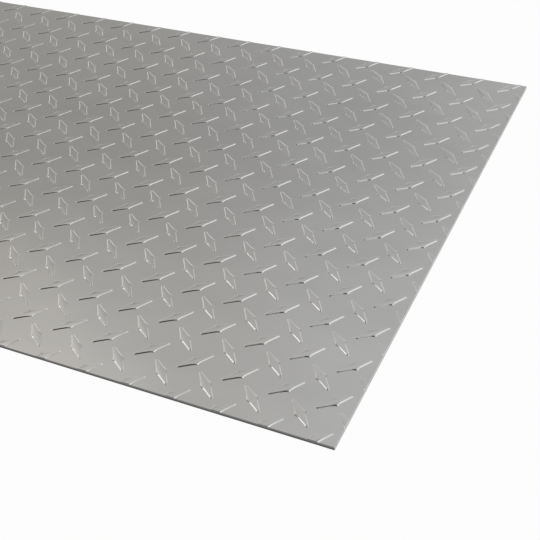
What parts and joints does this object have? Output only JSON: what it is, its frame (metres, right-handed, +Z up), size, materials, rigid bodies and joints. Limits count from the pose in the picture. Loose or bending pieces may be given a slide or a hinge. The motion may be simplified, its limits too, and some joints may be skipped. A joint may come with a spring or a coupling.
{
  "type": "tread plate sheet",
  "caption": "Flat rectangular sheet of rolled aluminium tread plate with raised crossed diamond lugs on top for grip and a plain flat underside.",
  "frame": {"origin": "middle of the plain underside", "axes": "+X along the sheet's length, +Y across it towards the back edge, +Z up through the lugs"},
  "size_m": [0.6096, 0.4572, 0.0031],
  "materials": {
    "mill_aluminium": "bright mill finish, smooth rolled with a fine lengthwise grain"
  },
  "bodies": {
    "root": {"tread_plate": "mill_aluminium"}
  },
  "joints": []
}
